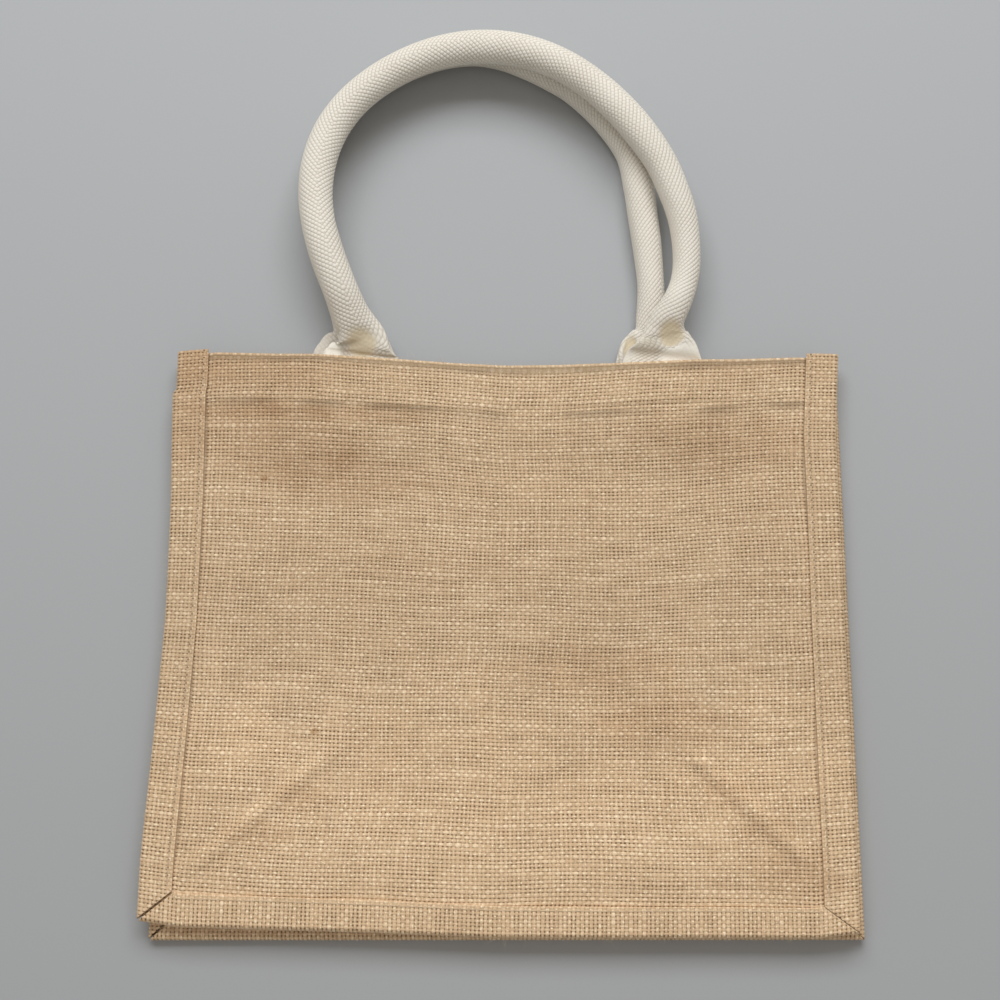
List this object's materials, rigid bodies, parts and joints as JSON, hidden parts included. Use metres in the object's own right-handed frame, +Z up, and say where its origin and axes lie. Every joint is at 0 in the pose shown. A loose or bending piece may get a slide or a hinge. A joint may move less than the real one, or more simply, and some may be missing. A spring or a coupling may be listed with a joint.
{
  "type": "burlap tote bag",
  "caption": "Small burlap tote bag folded flat on its back, with edge strips, a folded gusset and padded webbing handles laid out above its mouth.",
  "frame": {"origin": "middle of the whole outline, seen from above, on the surface that the bag lies on", "axes": "+X across the bag to the viewer's right, +Y from its bottom edge towards its mouth and handles, +Z up off the surface, out of its front"},
  "size_m": [0.3038, 0.4204, 0.0301],
  "materials": {
    "jute": "coarse plain-weave jute, matt",
    "jute_edge": "the same jute, folded and stitched",
    "cotton_webbing": "cream cotton webbing, matt"
  },
  "bodies": {
    "root": {"front_panel": "jute", "back_panel": "jute", "gusset": "jute", "front_edge_strip": "jute_edge", "back_edge_strip": "jute_edge", "front_handle": "cotton_webbing", "back_handle": "cotton_webbing"}
  },
  "joints": []
}
